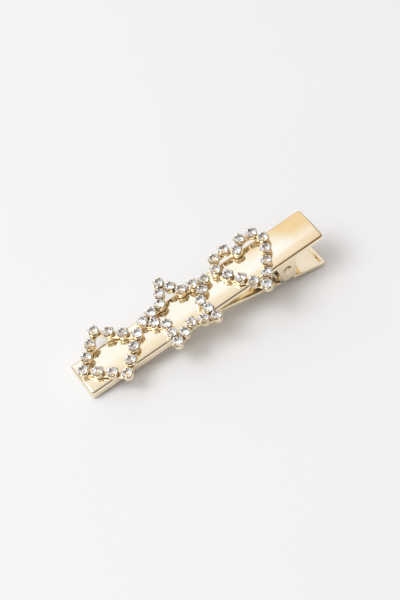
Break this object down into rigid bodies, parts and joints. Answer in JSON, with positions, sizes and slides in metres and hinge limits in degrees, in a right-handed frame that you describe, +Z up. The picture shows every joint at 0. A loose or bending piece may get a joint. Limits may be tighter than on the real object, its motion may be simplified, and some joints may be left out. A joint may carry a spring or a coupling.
{
  "type": "hair clip",
  "caption": "Sprung flat hair clip: two hinged gold-plated sheet-metal jaws, the upper one set with lozenge, star and heart outlines of clear stones in claw cups.",
  "frame": {"origin": "centre of the clip's footprint at table level, where it stands closed on the lower jaw's beak edge and tail edge", "axes": "+X from the beak to the tail, +Y across the clip to the side that the ornaments' tops face, +Z up from the table"},
  "size_m": [0.0596, 0.0186, 0.0113],
  "materials": {
    "plated_gold": "polished pale-gold plating over sheet steel",
    "cast_gold": "polished cast ornament metal, pale-gold plated",
    "spring_steel": "drawn spring wire, bright",
    "crystal": "clear cut glass with a silvered back"
  },
  "bodies": {
    "lower_jaw_set": {"lower_jaw": "plated_gold", "torsion_spring": "spring_steel"},
    "upper_jaw_set": {"upper_jaw": "plated_gold", "hinge_pin": "plated_gold", "lozenge_rail": "cast_gold", "lozenge_claws": "cast_gold", "star_rail": "cast_gold", "star_claws": "cast_gold", "heart_rail": "cast_gold", "heart_claws": "cast_gold", "lozenge_stone_01": "crystal", "lozenge_stone_02": "crystal", "lozenge_stone_03": "crystal", "lozenge_stone_04": "crystal", "lozenge_stone_05": "crystal", "lozenge_stone_06": "crystal", "lozenge_stone_07": "crystal", "lozenge_stone_08": "crystal", "lozenge_stone_09": "crystal", "lozenge_stone_10": "crystal", "lozenge_stone_11": "crystal", "lozenge_stone_12": "crystal", "star_stone_01": "crystal", "star_stone_02": "crystal", "star_stone_03": "crystal", "star_stone_04": "crystal", "star_stone_05": "crystal", "star_stone_06": "crystal", "star_stone_07": "crystal", "star_stone_08": "crystal", "star_stone_09": "crystal", "star_stone_10": "crystal", "star_stone_11": "crystal", "star_stone_12": "crystal", "star_stone_13": "crystal", "star_stone_14": "crystal", "star_stone_15": "crystal", "star_stone_16": "crystal", "star_stone_17": "crystal", "star_stone_18": "crystal", "star_stone_19": "crystal", "star_stone_20": "crystal", "heart_stone_01": "crystal", "heart_stone_02": "crystal", "heart_stone_03": "crystal", "heart_stone_04": "crystal", "heart_stone_05": "crystal", "heart_stone_06": "crystal", "heart_stone_07": "crystal", "heart_stone_08": "crystal", "heart_stone_09": "crystal", "heart_stone_10": "crystal", "heart_stone_11": "crystal", "heart_stone_12": "crystal", "heart_stone_13": "crystal", "heart_stone_14": "crystal"}
  },
  "joints": [
    {"name": "jaw_hinge", "type": "hinge", "parent": "lower_jaw_set", "child": "upper_jaw_set", "pos_m": [0.02028, 0, 0.00523], "axis": [0, 1, 0], "range_deg": [0, 40], "stiffness_Nm_per_rad": 0.04, "springref_deg": -34.38, "deforming": ["torsion_spring"]}
  ]
}
